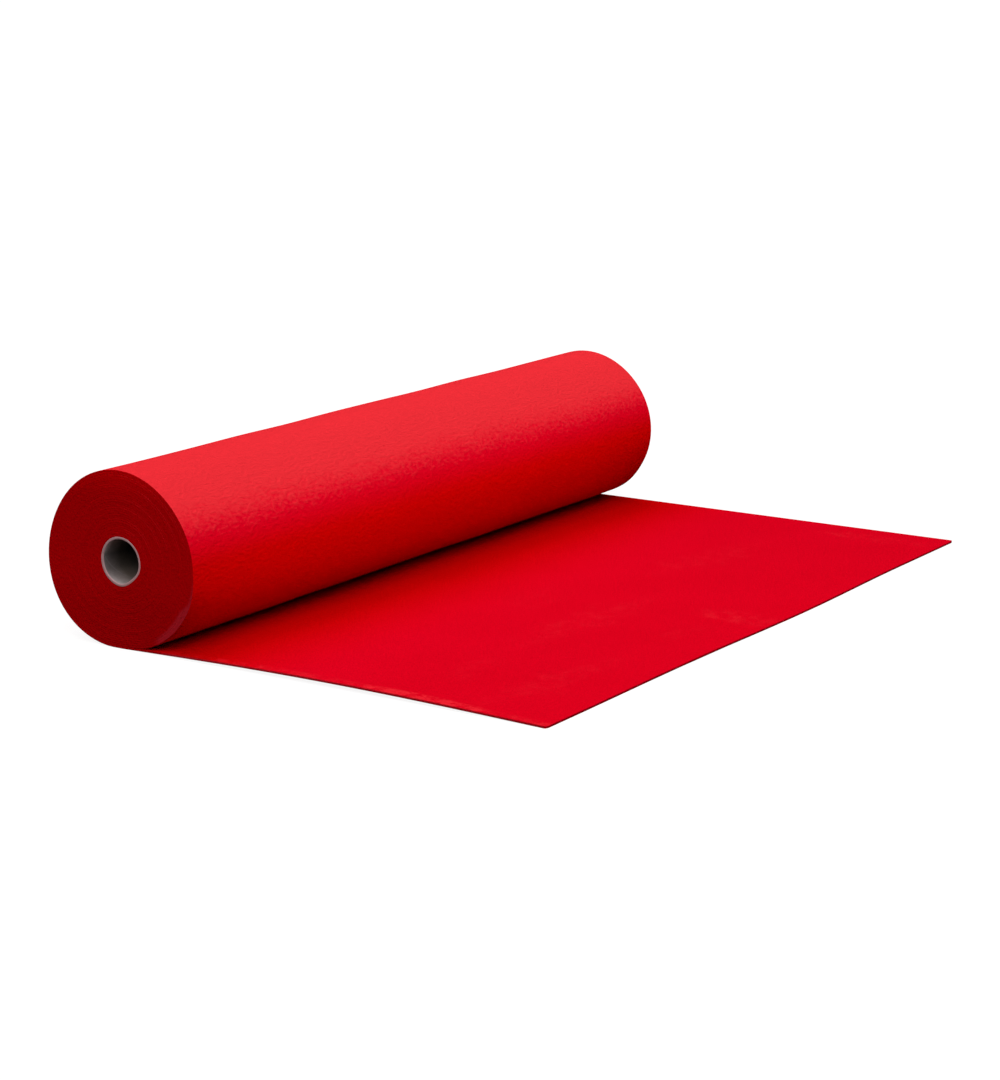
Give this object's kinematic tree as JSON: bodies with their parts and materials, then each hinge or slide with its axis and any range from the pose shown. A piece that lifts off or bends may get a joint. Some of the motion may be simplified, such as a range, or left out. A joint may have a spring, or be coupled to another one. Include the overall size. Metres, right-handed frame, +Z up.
{
  "type": "roll of felt",
  "caption": "Length of red felt wound on a cardboard tube and lying on its side, with the loose end of the cloth laid out flat beside the roll.",
  "frame": {"origin": "on the floor under the axis of the roll, midway along the roll", "axes": "+X along the roll's axis, which is the felt's width; +Y away from the loose end, which lies towards -Y; +Z up"},
  "size_m": [1, 0.669, 0.2045],
  "materials": {
    "felt": "matt needled felt, evenly dyed red, with short loose fibres on the surface",
    "tube": "matt spirally wound grey cardboard"
  },
  "bodies": {
    "root": {"felt": "felt", "core": "tube"}
  },
  "joints": []
}
